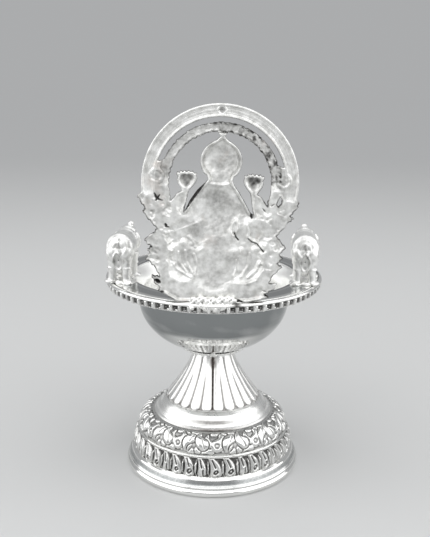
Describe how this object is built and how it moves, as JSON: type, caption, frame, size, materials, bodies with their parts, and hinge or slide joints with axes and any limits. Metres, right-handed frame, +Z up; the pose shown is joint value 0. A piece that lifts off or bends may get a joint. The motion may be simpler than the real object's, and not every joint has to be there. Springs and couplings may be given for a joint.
{
  "type": "gajalakshmi oil lamp",
  "caption": "Footed oil lamp: open bowl with a beaded rim, an openwork goddess plaque and a pair of elephants.",
  "frame": {"origin": "middle of the foot's underside, on the axis of the bowl and foot", "axes": "+Z up the lamp's axis, +Y towards the side the goddess faces, the plaque's back faces -Y"},
  "size_m": [0.06, 0.06, 0.1042],
  "materials": {
    "polished_plate": "silver-plated copper alloy, polished, mirror-like",
    "embossed_plate": "silver-plated, embossed, dark oxide left in the recesses",
    "cast_plate": "silver-plated casting, satin back and bright worn ridges",
    "solder": "tin solder, lumpy, bright",
    "steel_hardware": "plain zinc-plated steel"
  },
  "bodies": {
    "root": {"foot_ring": "polished_plate", "lower_leaf_band": "embossed_plate", "upper_scroll_band": "embossed_plate", "fluted_stem": "polished_plate", "collar": "polished_plate", "bowl": "polished_plate", "rim_border": "embossed_plate", "plaque": "cast_plate", "plaque_solder": "solder", "left_elephant": "cast_plate", "right_elephant": "cast_plate", "centre_stud": "steel_hardware", "clamp_washer": "steel_hardware", "hex_nut": "steel_hardware"}
  },
  "joints": []
}
